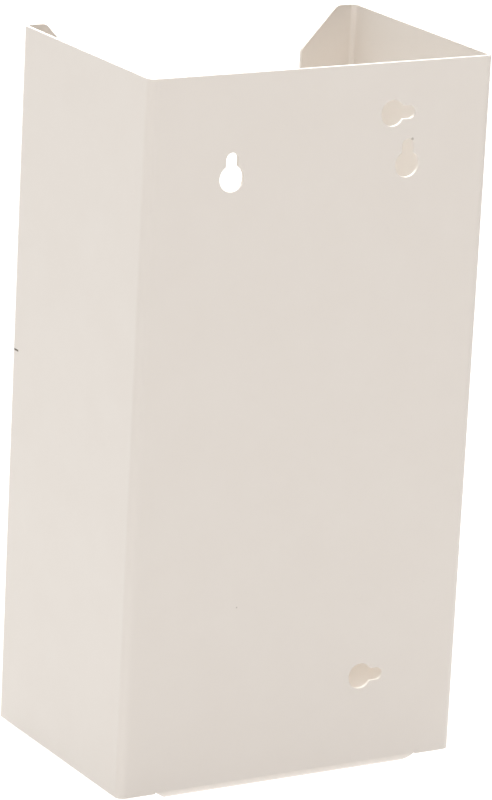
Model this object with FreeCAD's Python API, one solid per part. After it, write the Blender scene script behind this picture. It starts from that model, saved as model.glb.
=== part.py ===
import FreeCAD, Part

import math
import os

# Wall-hung pocket bin: one folded sheet-metal shell, open in front above a low riveted sill.
# Millimetres. The front faces -Y, the wall side is +Y and +Z is up. The origin is on the underside of
# the bottom flap, under the middle of the shell.

# Shell
WIDTH = 159.5               # outside, across the two side panels
DEPTH = 109.2               # outside, from the wall face to the front face of the flanges
HEIGHT = 300.0              # of the side and back panels
SHEET = 1.5                 # sheet thickness with its coating
BEND_INSIDE = 2.0           # inside radius of every fold

# Front flanges
FLANGE_WIDTH = 26.8         # from the outer face of the side panel
CHAMFER_WIDTH = 16.7        # sloping top end
CHAMFER_DROP = 18.2
CHAMFER_ROUND = 4.0         # where the slope starts
SLIT_HEIGHT = 163.0         # bend relief across each flange, above the panels' lower edges
SLIT_GAP = 0.4
SLIT_PAST_BEND = 2.9        # how far the slit runs onto the flat side panel

# Bottom flap
FLAP_INSET = 17.4           # from the outer side face to the end of the flap
FLAP_SETBACK = 1.0          # front edge of the flap behind the front face
FLAP_CLEARANCE = 1.4        # between the flap and the lower edges of the panels above it
FLAP_TAPER = 5.5            # how far each end of the flap comes in round its fold
NOTCH_WIDTH = 0.15          # bend relief at each end of the flap's fold
NOTCH_ABOVE_BEND = 0.5

# Keyholes in the back
KEY_HEAD_R = 5.5            # round end that passes the screw's head
KEY_SLOT = 5.5              # width of the narrow end
KEY_REACH = 10.6            # from the round end's centre to the far end of the slot
UPRIGHT_SPACING = 81.6      # pair for hanging upright
UPRIGHT_DROP = 42.6         # below the back's upper edge
SIDEWAYS_DROP = 21.0        # pair for hanging on the side: the upper one below the upper edge
SIDEWAYS_RISE = 38.7        # and the lower one above the lower edge
SIDEWAYS_INSET = 46.9       # both from the outer face of the -X side

# Front sill
SILL_HEIGHT = 40.0          # its upper face above the panels' lower edges
SILL_SIDE_GAP = 0.5         # from the sill's end to the start of the shell's inside fold
SILL_LIP = 14.0             # depth of the folded top edge
SILL_FOOT = 24.0            # depth of the return that lies on the flap

# Blind rivets
RIVET_R = 2.4
RIVET_HOLE_GAP = 0.05       # radial
HEAD_R = 4.75
HEAD_THICK = 1.1
HEAD_RIM = 0.35             # straight edge of the domed head
SINK_HALF_ANGLE = 60.0      # of the countersunk heads in the floor
BULB_R = 3.3                # swelled blind end
BULB_LONG = 3.6
MANDREL_R = 1.3
MANDREL_GAP = 0.02
MANDREL_RECESS = 0.3        # broken end below the top of the rivet's head
MANDREL_HEAD_R = 2.1
MANDREL_HEAD_LONG = 1.4
CORNER_ROUND = 3.0          # free corners of the flap and of the sill's lip and foot
SIDE_RIVETS = 2             # up each flange
SIDE_RIVET_END = 11.5       # from the sill's lower and upper faces
FLOOR_RIVETS = 3
FLOOR_RIVET_END = 18.6      # from the flap's ends
FLOOR_RIVET_EDGE = 9.0      # from the rear edge of the sill's foot

# Places that follow from the sizes
BEND_OUTSIDE = BEND_INSIDE + SHEET
FRONT = -DEPTH / 2
BACK = DEPTH / 2
SIDE = WIDTH / 2
FLAP_TOP = SHEET
EDGE = FLAP_TOP + FLAP_CLEARANCE    # lower edges of the back, sides and flanges
TOP = EDGE + HEIGHT
FLAP_JOIN = max(EDGE, BEND_OUTSIDE)     # where the flap's fold meets the back panel
SILL_TOP = EDGE + SILL_HEIGHT
SILL_FRONT = FRONT + SHEET
SILL_HALF = SIDE - SHEET - BEND_INSIDE - SILL_SIDE_GAP
FLANGE_EDGE = SIDE - FLANGE_WIDTH
OVER = 5.0                  # how far a cutting tool runs past what it cuts

X_AXIS = FreeCAD.Vector(1, 0, 0)
Y_AXIS = FreeCAD.Vector(0, 1, 0)
Z_AXIS = FreeCAD.Vector(0, 0, 1)


def box(x0, x1, y0, y1, z0, z1):
    """Box between two corners."""
    return Part.makeBox(x1 - x0, y1 - y0, z1 - z0, FreeCAD.Vector(x0, y0, z0))


def parallel(edge, axis):
    """True for a straight edge that runs along the axis."""
    if not isinstance(edge.Curve, Part.Line):
        return False
    return abs(abs(edge.Curve.Direction.dot(axis)) - 1) < 1e-6


def rounded_box(x0, x1, y0, y1, z0, z1, axis, radius):
    """Box with its four edges along the axis rounded."""
    solid = box(x0, x1, y0, y1, z0, z1)
    edges = [edge for edge in solid.Edges if parallel(edge, axis)]
    return solid.makeFillet(radius, edges)


def prism_y(points, y0, y1):
    """Polygon of (x, z) points, extruded from y0 to y1."""
    corners = [FreeCAD.Vector(x, y0, z) for x, z in points]
    wire = Part.makePolygon(corners + corners[:1])
    return Part.Face(wire).extrude(FreeCAD.Vector(0, y1 - y0, 0))


def round_edges(solid, axis, spots, radius):
    """Rounds the edges along the axis whose middles lie on lines through the spots along the axis."""
    edges = []
    for edge in solid.Edges:
        if not parallel(edge, axis):
            continue
        aside = [edge.CenterOfMass.sub(spot).cross(axis).Length for spot in spots]
        if min(aside) < 0.01:
            edges.append(edge)
    return solid.makeFillet(radius, edges)


def wall_ring():
    """Back, sides and both front flanges, folded round the four corners."""
    outside = rounded_box(-SIDE, SIDE, FRONT, BACK, EDGE, TOP, Z_AXIS, BEND_OUTSIDE)
    inside = rounded_box(-SIDE + SHEET, SIDE - SHEET, FRONT + SHEET, BACK - SHEET,
                         EDGE - OVER, TOP + OVER, Z_AXIS, BEND_INSIDE)
    gap = box(-FLANGE_EDGE, FLANGE_EDGE, FRONT - OVER, FRONT + 2 * SHEET, EDGE - OVER, TOP + OVER)
    return outside.cut([inside, gap])


def chamfer_flanges(ring):
    """Slopes the top end of each flange down to its free edge."""
    start = FLANGE_EDGE + CHAMFER_WIDTH
    foot = TOP - CHAMFER_DROP
    slope = CHAMFER_DROP / CHAMFER_WIDTH
    spots = []
    for side in (-1, 1):
        points = [(side * start, TOP), (side * (FLANGE_EDGE - OVER), foot - OVER * slope),
                  (side * (FLANGE_EDGE - OVER), TOP + OVER), (side * start, TOP + OVER)]
        ring = ring.cut(prism_y(points, FRONT - OVER, FRONT + 2 * SHEET))
        spots += [FreeCAD.Vector(side * start, 0, TOP), FreeCAD.Vector(side * FLANGE_EDGE, 0, foot)]
    return round_edges(ring, Y_AXIS, spots, CHAMFER_ROUND)


def slit_tools():
    """Thin cuts across the front folds and flanges, one a side."""
    reach = FRONT + BEND_OUTSIDE + SLIT_PAST_BEND
    low = EDGE + SLIT_HEIGHT - SLIT_GAP / 2
    tools = []
    for side in (-1, 1):
        x0, x1 = sorted((side * (FLANGE_EDGE - OVER), side * (SIDE + OVER)))
        tools.append(box(x0, x1, FRONT - OVER, reach, low, low + SLIT_GAP))
    return tools


def flap():
    """Bottom flap with the fold that joins it to the back panel."""
    half = SIDE - FLAP_INSET
    outside = rounded_box(-half, half, FRONT - DEPTH, BACK, 0, DEPTH, X_AXIS, BEND_OUTSIDE)
    inside = rounded_box(-half - OVER, half + OVER, FRONT - DEPTH + SHEET, BACK - SHEET,
                         SHEET, DEPTH - SHEET, X_AXIS, BEND_INSIDE)
    above = box(-half - OVER, half + OVER, FRONT - DEPTH - OVER, BACK + OVER, FLAP_JOIN, DEPTH + OVER)
    before = box(-half - OVER, half + OVER, FRONT - DEPTH - OVER, FRONT + FLAP_SETBACK, -OVER, DEPTH)
    narrow = half - FLAP_TAPER
    ends = []
    for side in (-1, 1):
        points = [(side * half, FLAP_JOIN), (side * narrow, 0), (side * narrow, -OVER),
                  (side * (half + OVER), -OVER), (side * (half + OVER), FLAP_JOIN)]
        ends.append(prism_y(points, BACK - BEND_OUTSIDE, BACK + OVER))
        x0, x1 = sorted((side * narrow, side * (half + OVER)))
        ends.append(box(x0, x1, FRONT - DEPTH, BACK - BEND_OUTSIDE, -OVER, FLAP_JOIN))
    corners = [FreeCAD.Vector(side * narrow, FRONT + FLAP_SETBACK, 0) for side in (-1, 1)]
    return round_edges(outside.cut([inside, above, before] + ends), Z_AXIS, corners, CORNER_ROUND)


def flap_gap():
    """What the flap's fold and its end notches take out of the back panel."""
    half = SIDE - FLAP_INSET
    room = box(-half - NOTCH_WIDTH, half + NOTCH_WIDTH, BACK - SHEET - BEND_INSIDE, BACK + OVER,
               EDGE - OVER, FLAP_JOIN)
    tools = [room]
    for side in (-1, 1):
        x0, x1 = sorted((side * half, side * (half + NOTCH_WIDTH)))
        tools.append(box(x0, x1, BACK - 2 * SHEET, BACK + OVER, EDGE, FLAP_JOIN + NOTCH_ABOVE_BEND))
    return tools


def keyhole_tool(x, z, turn):
    """Keyhole cutter: a round end at x, z and a slot that points up, or towards -X when turned 90."""
    depth = 2 * SHEET
    start = FreeCAD.Vector(x, BACK - SHEET - depth / 2, z)
    long = SHEET + depth
    tip = KEY_REACH - KEY_SLOT / 2
    head = Part.makeCylinder(KEY_HEAD_R, long, start, Y_AXIS)
    end = Part.makeCylinder(KEY_SLOT / 2, long, start + FreeCAD.Vector(0, 0, tip), Y_AXIS)
    slot = box(x - KEY_SLOT / 2, x + KEY_SLOT / 2, start.y, start.y + long, z, z + tip)
    tool = head.fuse([slot, end])
    tool.rotate(start, Y_AXIS, -turn)
    return tool


def keyhole_tools():
    """Upright pair near the top, and a sideways pair near one edge."""
    tools = []
    for side in (-1, 1):
        tools.append(keyhole_tool(side * UPRIGHT_SPACING / 2, TOP - UPRIGHT_DROP, 0))
    for height in (EDGE + SIDEWAYS_RISE, TOP - SIDEWAYS_DROP):
        tools.append(keyhole_tool(SIDEWAYS_INSET - SIDE, height, 90))
    return tools


def side_rivet_spots():
    """Name and (x, z) of each rivet through a flange and the front sill."""
    across = (FLANGE_EDGE + SILL_HALF) / 2
    first = FLAP_TOP + SIDE_RIVET_END
    step = (SILL_TOP - FLAP_TOP - 2 * SIDE_RIVET_END) / (SIDE_RIVETS - 1)
    spots = []
    for word, side in (("left", -1), ("right", 1)):
        for index in range(SIDE_RIVETS):
            spots.append((f"{word}_{index + 1}", side * across, first + index * step))
    return spots


def floor_rivet_spots():
    """Name and (x, y) of each rivet through the flap and the front sill's foot."""
    back = SILL_FRONT + SILL_FOOT - FLOOR_RIVET_EDGE
    first = FLAP_INSET - SIDE + FLOOR_RIVET_END
    step = -2 * first / (FLOOR_RIVETS - 1)
    return [(f"floor_{index + 1}", first + index * step, back) for index in range(FLOOR_RIVETS)]


def sink_cone(gap):
    """Countersink from its mouth at z = 0 down to the shank, a little larger by the gap."""
    slope = math.tan(math.radians(SINK_HALF_ANGLE))
    mouth = HEAD_R + gap
    bore = RIVET_R + gap
    return Part.makeCone(mouth, bore, (mouth - bore) / slope, FreeCAD.Vector(0, 0, 0), Z_AXIS)


def rivet_holes():
    """Cutters for the rivets through the flanges, the sill and the flap."""
    radius = RIVET_R + RIVET_HOLE_GAP
    tools = []
    for name, x, z in side_rivet_spots():
        tools.append(Part.makeCylinder(radius, 4 * SHEET, FreeCAD.Vector(x, FRONT - SHEET, z), Y_AXIS))
    for name, x, y in floor_rivet_spots():
        tools.append(Part.makeCylinder(radius, 4 * SHEET, FreeCAD.Vector(x, y, -SHEET), Z_AXIS))
    return tools


def folded_shell():
    """Whole folded blank."""
    ring = chamfer_flanges(wall_ring())
    shell = ring.cut(flap_gap() + slit_tools()).fuse(flap()).removeSplitter()
    sinks = [sink_cone(RIVET_HOLE_GAP).translated(FreeCAD.Vector(x, y, 0))
             for name, x, y in floor_rivet_spots()]
    return shell.cut(keyhole_tools() + rivet_holes() + sinks)


def front_sill():
    """Front plate behind the flanges, with a folded top edge and a foot on the flap."""
    deep = max(SILL_LIP, SILL_FOOT) + BEND_OUTSIDE
    outside = rounded_box(-SILL_HALF, SILL_HALF, SILL_FRONT, SILL_FRONT + deep,
                          FLAP_TOP, SILL_TOP, X_AXIS, BEND_OUTSIDE)
    inside = rounded_box(-SILL_HALF - OVER, SILL_HALF + OVER, SILL_FRONT + SHEET,
                         SILL_FRONT + 2 * deep, FLAP_TOP + SHEET, SILL_TOP - SHEET, X_AXIS, BEND_INSIDE)
    middle = (FLAP_TOP + SILL_TOP) / 2
    past_foot = box(-SIDE, SIDE, SILL_FRONT + SILL_FOOT, BACK, FLAP_TOP - OVER, middle)
    past_lip = box(-SIDE, SIDE, SILL_FRONT + SILL_LIP, BACK, middle, SILL_TOP + OVER)
    plate = outside.cut([inside, past_foot, past_lip])
    corners = [FreeCAD.Vector(side * SILL_HALF, SILL_FRONT + deep, 0)
               for side in (-1, 1) for deep in (SILL_LIP, SILL_FOOT)]
    return round_edges(plate, Z_AXIS, corners, CORNER_ROUND).cut(rivet_holes())


def revolve(edges):
    """Solid of revolution about Z from edges that close a profile in the XZ plane."""
    return Part.Face(Part.Wire(edges)).revolve(FreeCAD.Vector(0, 0, 0), Z_AXIS, 360)


def profile(points):
    """Edges through (radius, z) points; a point between two others may be marked as an arc's middle."""
    edges = []
    index = 0
    while index < len(points) - 1:
        start = FreeCAD.Vector(points[index][0], 0, points[index][1])
        bent = len(points[index + 1]) == 3
        step = 2 if bent else 1
        end = FreeCAD.Vector(points[index + step][0], 0, points[index + step][1])
        if bent:
            middle = FreeCAD.Vector(points[index + 1][0], 0, points[index + 1][1])
            edges.append(Part.Arc(start, middle, end).toShape())
        else:
            edges.append(Part.LineSegment(start, end).toShape())
        index += step
    return edges


def blind_end(grip):
    """Profile points of a set rivet's swelled end, which starts at z = grip."""
    return [(RIVET_R, grip), (BULB_R, grip + BULB_LONG * 0.45, "arc"), (MANDREL_HEAD_R, grip + BULB_LONG)]


def domed_rivet(grip):
    """Set rivet body with its head under z = 0 and its swelled end past z = grip."""
    bore = MANDREL_R + MANDREL_GAP
    rise = HEAD_THICK - HEAD_RIM
    points = [(bore, -HEAD_THICK), ((bore + HEAD_R) / 2, -HEAD_RIM - 0.8 * rise, "arc"), (HEAD_R, -HEAD_RIM),
              (HEAD_R, 0), (RIVET_R, 0)] + blind_end(grip)
    points += [(bore, grip + BULB_LONG), (bore, -HEAD_THICK)]
    return revolve(profile(points))


def sunk_rivet(grip):
    """Set countersunk rivet body, flush with z = 0."""
    bore = MANDREL_R + MANDREL_GAP
    depth = (HEAD_R - RIVET_R) / math.tan(math.radians(SINK_HALF_ANGLE))
    points = [(bore, 0), (HEAD_R, 0), (RIVET_R, depth)] + blind_end(grip)
    points += [(bore, grip + BULB_LONG), (bore, 0)]
    return revolve(profile(points))


def mandrel(crown, grip):
    """Mandrel left in a set rivet, from under the head's crown to its own head at the blind end."""
    low = crown + MANDREL_RECESS
    end = grip + BULB_LONG
    shank = Part.makeCylinder(MANDREL_R, end - low, FreeCAD.Vector(0, 0, low), Z_AXIS)
    head = Part.makeCone(MANDREL_HEAD_R, MANDREL_R, MANDREL_HEAD_LONG, FreeCAD.Vector(0, 0, end), Z_AXIS)
    return shank.fuse(head).removeSplitter()


def face_inwards(solid, x, z):
    """Places a rivet piece on the flange's front face, pointing along +Y."""
    placed = solid.copy()
    placed.rotate(FreeCAD.Vector(0, 0, 0), X_AXIS, -90)
    placed.translate(FreeCAD.Vector(x, FRONT, z))
    return placed


def rivets():
    """Every rivet body and mandrel, by node name."""
    grip = 2 * SHEET
    parts = {}
    for name, x, z in side_rivet_spots():
        parts[f"rivet_{name}"] = face_inwards(domed_rivet(grip), x, z)
        parts[f"mandrel_{name}"] = face_inwards(mandrel(-HEAD_THICK, grip), x, z)
    for name, x, y in floor_rivet_spots():
        place = FreeCAD.Vector(x, y, 0)
        parts[f"rivet_{name}"] = sunk_rivet(grip).translated(place)
        parts[f"mandrel_{name}"] = mandrel(0, grip).translated(place)
    return parts


def main():
    os.makedirs("parts", exist_ok=True)
    parts = {"folded_shell": folded_shell(), "front_sill": front_sill()}
    parts.update(rivets())
    for name, shape in parts.items():
        solids = shape.Solids
        if len(solids) != 1 or not shape.isValid():
            raise ValueError(f"{name}: {len(solids)} solids, valid {shape.isValid()}")
        solids[0].exportStep(f"parts/{name}.step")
        print(name, round(solids[0].Volume, 1))


main()
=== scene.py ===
import math

import bpy
from mathutils import Matrix, Vector


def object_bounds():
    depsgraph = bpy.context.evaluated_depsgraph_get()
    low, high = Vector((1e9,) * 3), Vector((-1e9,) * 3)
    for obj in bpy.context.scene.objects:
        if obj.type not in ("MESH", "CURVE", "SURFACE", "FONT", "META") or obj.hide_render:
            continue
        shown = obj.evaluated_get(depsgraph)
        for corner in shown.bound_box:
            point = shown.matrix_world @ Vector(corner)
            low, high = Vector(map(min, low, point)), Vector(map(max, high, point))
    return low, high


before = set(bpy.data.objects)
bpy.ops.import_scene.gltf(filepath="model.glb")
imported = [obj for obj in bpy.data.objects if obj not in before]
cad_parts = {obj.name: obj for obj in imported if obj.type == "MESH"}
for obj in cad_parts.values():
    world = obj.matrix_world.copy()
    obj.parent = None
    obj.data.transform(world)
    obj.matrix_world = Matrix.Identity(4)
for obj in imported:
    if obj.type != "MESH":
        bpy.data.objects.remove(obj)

CAD_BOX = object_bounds()

# Camera: behind the object's +X side and above it, looking at the wall side
BEARING = math.radians(30.48)       # from +Y towards +X
PITCH = math.radians(16.12)
ROLL = math.radians(2.927)
DISTANCE = 1.9221
LENS = 207.47
AIM_RIGHT = 0.00286                 # aim point beside the middle of the box, in the picture
AIM_UP = -0.00172

# Powder coat, in scene-linear colour
CREAM = (0.793, 0.736, 0.680)
CREAM_LIGHT = (0.801, 0.746, 0.691)
# brown of the specks and the chip, also used for the painted shade along the slits
SPECK_AND_SHADE_BROWN = (0.20, 0.15, 0.10)
COAT_ROUGHNESS = 0.42
EDGE_RADIUS = 0.00018               # rounding of the coating over a cut edge

# Marks in the coating, in metres, placed from the wall face and the upper edge
WALL = CAD_BOX[1][1]
TOP = CAD_BOX[1][2]
CHIP_PLACE = (-0.0427, WALL, TOP - 0.0323)  # small chip beside the end of one upright keyhole
CHIP_RADIUS = 0.0008
SLIT_LEVEL = TOP - 0.137            # the slits across the front folds, with painted shade along their edges
SLIT_END = WALL - 0.1024            # they lie in front of this

# Stage
FLOOR_HALF = 40.0
FLOOR_GAP = 0.0002                  # under the flap
FLOOR_GLOW = 0.96                   # strength of the light that the floor gives off
LIGHT_TINT = (1.0, 0.982, 0.967)
FRONT_TINT = (0.955, 1.0, 0.985)
WORLD_STRENGTH = 0.14


# ---------------------------------------------------------------- node helpers

def new_material(name):
    """Empty node material with a Principled shader wired to its output."""
    material = bpy.data.materials.new(name)
    material.use_nodes = True
    tree = material.node_tree
    tree.nodes.clear()
    output = tree.nodes.new("ShaderNodeOutputMaterial")
    shader = tree.nodes.new("ShaderNodeBsdfPrincipled")
    tree.links.new(shader.outputs["BSDF"], output.inputs["Surface"])
    return material, tree, shader


def add(tree, kind, inputs=None, **settings):
    """New node with its settings, and its sockets set to values or linked from other sockets."""
    node = tree.nodes.new(kind)
    for key, value in settings.items():
        setattr(node, key, value)
    for key, value in (inputs or {}).items():
        if isinstance(value, bpy.types.NodeSocket):
            tree.links.new(value, node.inputs[key])
        else:
            node.inputs[key].default_value = value
    return node


def object_coordinates(tree):
    return add(tree, "ShaderNodeTexCoord").outputs["Object"]


def noise(tree, place, scale, detail=3.0, rough=0.5):
    """Noise value at a scale in waves per metre."""
    node = add(tree, "ShaderNodeTexNoise", {"Vector": place, "Scale": scale,
                                            "Detail": detail, "Roughness": rough})
    return node.outputs["Fac"]


def remap(tree, value, low, high, new_low, new_high):
    """Clamped linear change of range."""
    return add(tree, "ShaderNodeMapRange", {"Value": value, "From Min": low, "From Max": high,
                                            "To Min": new_low, "To Max": new_high}).outputs["Result"]


def math_node(tree, operation, first, second):
    return add(tree, "ShaderNodeMath", {0: first, 1: second}, operation=operation).outputs[0]


def mix_colour(tree, share, first, second):
    node = add(tree, "ShaderNodeMix", data_type="RGBA")
    for socket, value in (("Factor_Float", share), ("A_Color", first), ("B_Color", second)):
        target = next(s for s in node.inputs if s.identifier == socket)
        if isinstance(value, bpy.types.NodeSocket):
            tree.links.new(value, target)
        else:
            target.default_value = value
    return next(s for s in node.outputs if s.identifier == "Result_Color")


def rgba(colour):
    return (*colour, 1.0)


# ---------------------------------------------------------------- materials

def specks(tree, place, cell, radius, share):
    """Sparse dots: one chance per Voronoi cell, 1 inside a dot and 0 outside."""
    voronoi = add(tree, "ShaderNodeTexVoronoi", {"Vector": place, "Scale": 1 / cell, "Randomness": 1.0})
    chosen = add(tree, "ShaderNodeSeparateColor", {"Color": voronoi.outputs["Color"]})
    dot = remap(tree, voronoi.outputs["Distance"], radius / cell * 0.5, radius / cell, 1.0, 0.0)
    lucky = math_node(tree, "LESS_THAN", chosen.outputs["Red"], share)
    size = remap(tree, chosen.outputs["Green"], 0.0, 1.0, 0.35, 1.0)
    return math_node(tree, "MULTIPLY", math_node(tree, "MULTIPLY", dot, lucky), size)


def spot(tree, place, centre, radius):
    """One soft-edged dot round a point."""
    gap = add(tree, "ShaderNodeVectorMath", {0: place, 1: centre}, operation="DISTANCE").outputs["Value"]
    return remap(tree, gap, radius * 0.5, radius, 1.0, 0.0)


def slit_shade_bands(tree, place):
    """Thin bands along the edges of the slits across the front folds, used for painted shade standing in for
    the shade inside the narrow slits.
    """
    axes = add(tree, "ShaderNodeSeparateXYZ", {"Vector": place})
    away = math_node(tree, "ABSOLUTE", math_node(tree, "SUBTRACT", axes.outputs["Z"], SLIT_LEVEL), 0.0)
    band = remap(tree, away, 0.0003, 0.0006, 1.0, 0.0)
    return math_node(tree, "MULTIPLY", band, math_node(tree, "LESS_THAN", axes.outputs["Y"], SLIT_END))


def powder_coat():
    """Satin cream-white powder coat: orange peel, faint mottling, sparse dark specks, and painted shade along
    the slits.
    """
    material, tree, shader = new_material("powder_coat")
    place = object_coordinates(tree)
    mottle = remap(tree, noise(tree, place, 38.0, 4.0, 0.6), 0.35, 0.65, 0.0, 1.0)
    cream = mix_colour(tree, mottle, rgba(CREAM), rgba(CREAM_LIGHT))
    dark = math_node(tree, "MULTIPLY", specks(tree, place, cell=0.022, radius=0.00050, share=0.50), 0.85)
    fine = math_node(tree, "MULTIPLY", specks(tree, place, cell=0.009, radius=0.00026, share=0.35), 0.40)
    chip = math_node(tree, "MULTIPLY", spot(tree, place, CHIP_PLACE, CHIP_RADIUS), 0.5)
    speck = math_node(tree, "MAXIMUM", math_node(tree, "MAXIMUM", dark, fine), chip)
    colour = mix_colour(tree, speck, cream, rgba(SPECK_AND_SHADE_BROWN))
    # painted shade: the coat is darkened towards brown along the slit edges, standing in for the shade inside
    # the narrow slits
    slit_shade = math_node(tree, "MULTIPLY", slit_shade_bands(tree, place), 0.75)
    tree.links.new(mix_colour(tree, slit_shade, colour, rgba(SPECK_AND_SHADE_BROWN)), shader.inputs["Base Color"])
    patches = noise(tree, place, 60.0, 3.0)
    rough = remap(tree, patches, 0.3, 0.7, COAT_ROUGHNESS - 0.03, COAT_ROUGHNESS + 0.04)
    tree.links.new(rough, shader.inputs["Roughness"])
    shader.inputs["IOR"].default_value = 1.5
    peel = noise(tree, place, 620.0, 2.0, 0.45)
    grain = noise(tree, place, 2600.0, 1.0, 0.4)
    relief = math_node(tree, "ADD", peel, math_node(tree, "MULTIPLY", grain, 0.22))
    bump = add(tree, "ShaderNodeBump", {"Height": relief, "Strength": 0.35, "Distance": 0.00006})
    pimple = add(tree, "ShaderNodeBump", {"Height": speck, "Strength": 0.5, "Distance": 0.00008,
                                          "Normal": bump.outputs["Normal"]})
    tree.links.new(pimple.outputs["Normal"], shader.inputs["Normal"])
    return material


def drawn_metal(name, colour, worn, rough_low, rough_high, scale, relief):
    """Plain metal with fine tool marks and patches of duller oxide."""
    material, tree, shader = new_material(name)
    place = object_coordinates(tree)
    patches = remap(tree, noise(tree, place, scale, 4.0, 0.6), 0.35, 0.65, 0.0, 1.0)
    tree.links.new(mix_colour(tree, patches, rgba(colour), rgba(worn)), shader.inputs["Base Color"])
    tree.links.new(remap(tree, patches, 0.0, 1.0, rough_low, rough_high), shader.inputs["Roughness"])
    shader.inputs["Metallic"].default_value = 1.0
    marks = noise(tree, place, scale * 6, 3.0, 0.6)
    bump = add(tree, "ShaderNodeBump", {"Height": marks, "Strength": 0.4, "Distance": relief})
    tree.links.new(bump.outputs["Normal"], shader.inputs["Normal"])
    return material


# ---------------------------------------------------------------- CAD pieces

def soften_edges(piece, radius, segments, angle):
    """Rounds the sharp edges of a carried-over CAD node with modifiers; its mesh stays as it is."""
    weld = piece.modifiers.new("join_corners", "WELD")
    weld.merge_threshold = 1e-6
    flat = piece.modifiers.new("merge_flats", "DECIMATE")
    flat.decimate_type = "DISSOLVE"
    flat.angle_limit = math.radians(0.3)
    bevel = piece.modifiers.new("coated_edge", "BEVEL")
    bevel.width = radius
    bevel.segments = segments
    bevel.limit_method = "ANGLE"
    bevel.angle_limit = math.radians(angle)
    bevel.use_clamp_overlap = False
    bevel.miter_outer = "MITER_ARC"
    bevel.harden_normals = True


def dress(piece, material):
    piece.data.materials.clear()
    piece.data.materials.append(material)


def dress_cad_nodes():
    coat = powder_coat()
    aluminium = drawn_metal("rivet_aluminium", colour=(0.78, 0.78, 0.79), worn=(0.62, 0.62, 0.64),
                            rough_low=0.28, rough_high=0.46, scale=700.0, relief=0.00002)
    steel = drawn_metal("mandrel_steel", colour=(0.50, 0.50, 0.51), worn=(0.30, 0.29, 0.28),
                        rough_low=0.35, rough_high=0.60, scale=1500.0, relief=0.00006)
    for name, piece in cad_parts.items():
        if name.startswith("rivet"):
            dress(piece, aluminium)
            soften_edges(piece, radius=0.00012, segments=2, angle=35)
        elif name.startswith("mandrel"):
            dress(piece, steel)
            soften_edges(piece, radius=0.00010, segments=1, angle=35)
        else:
            dress(piece, coat)
            soften_edges(piece, radius=EDGE_RADIUS, segments=3, angle=40)


# ---------------------------------------------------------------- stage, lights, camera

def make_floor():
    """Pale seamless floor that glows, just under the bottom flap."""
    half = FLOOR_HALF
    mesh = bpy.data.meshes.new("floor")
    z = CAD_BOX[0][2] - FLOOR_GAP
    corners = [(-half, -half, z), (half, -half, z), (half, half, z), (-half, half, z)]
    mesh.from_pydata(corners, [], [(0, 1, 2, 3)])
    floor = bpy.data.objects.new("floor", mesh)
    bpy.context.scene.collection.objects.link(floor)
    material, tree, shader = new_material("pale_floor")
    place = object_coordinates(tree)
    tone = remap(tree, noise(tree, place, 9.0, 3.0), 0.3, 0.7, 0.0, 1.0)
    grey = mix_colour(tree, tone, rgba((0.30, 0.30, 0.30)), rgba((0.32, 0.32, 0.32)))
    tree.links.new(grey, shader.inputs["Base Color"])
    shader.inputs["Emission Color"].default_value = (*LIGHT_TINT, 1.0)
    shader.inputs["Emission Strength"].default_value = FLOOR_GLOW
    shader.inputs["Roughness"].default_value = 0.9
    shader.inputs["Specular IOR Level"].default_value = 0.1
    mesh.materials.append(material)


def area_light(name, place, aim, size, power, tint=LIGHT_TINT):
    light = bpy.data.lights.new(name, "AREA")
    light.shape = "RECTANGLE"
    light.size, light.size_y = size
    light.energy = power
    light.color = tint
    lamp = bpy.data.objects.new(name, light)
    bpy.context.scene.collection.objects.link(lamp)
    lamp.location = place
    direction = Vector(aim) - Vector(place)
    lamp.rotation_euler = direction.to_track_quat("-Z", "Y").to_euler()


def make_lights():
    middle = (Vector(CAD_BOX[0]) + Vector(CAD_BOX[1])) / 2
    area_light("overhead", (0.0, 0.0, 1.6), middle, (1.0, 1.0), 19.5)
    area_light("overhead_front", (0.0, -0.6, 1.6), middle, (1.0, 1.0), 20.0, FRONT_TINT)
    area_light("backdrop", (-0.5, -1.95, 0.85), middle, (1.8, 1.4), 18.0, FRONT_TINT)
    area_light("wall_side_high", (0.0, 1.0, 1.7), middle, (1.0, 1.0), 5.6)
    area_light("corner_high", (0.8, 0.4, 1.7), middle, (0.8, 0.8), 4.3)
    area_light("corner_low", (1.4, 0.8, 0.1), middle, (0.5, 0.3), 0.6)
    world = bpy.data.worlds.new("studio")
    bpy.context.scene.world = world
    world.use_nodes = True
    background = world.node_tree.nodes["Background"]
    background.inputs["Color"].default_value = (*LIGHT_TINT, 1.0)
    background.inputs["Strength"].default_value = WORLD_STRENGTH


def make_camera():
    low, high = Vector(CAD_BOX[0]), Vector(CAD_BOX[1])
    middle = (low + high) / 2
    back = Vector((math.sin(BEARING) * math.cos(PITCH), math.cos(BEARING) * math.cos(PITCH), math.sin(PITCH)))
    level = Vector((0, 0, 1)).cross(back).normalized()
    upright = back.cross(level)
    right = level * math.cos(ROLL) + upright * math.sin(ROLL)
    up = back.cross(right)
    aim = middle + right * AIM_RIGHT + up * AIM_UP
    data = bpy.data.cameras.new("camera")
    data.sensor_fit = "VERTICAL"
    data.sensor_height = 36.0
    data.lens = LENS
    camera = bpy.data.objects.new("camera", data)
    turn = Matrix((right, up, back)).transposed().to_4x4()
    camera.matrix_world = Matrix.Translation(aim + back * DISTANCE) @ turn
    bpy.context.scene.collection.objects.link(camera)
    bpy.context.scene.camera = camera


bpy.context.scene.view_settings.view_transform = "Standard"
dress_cad_nodes()
make_floor()
make_lights()
make_camera()
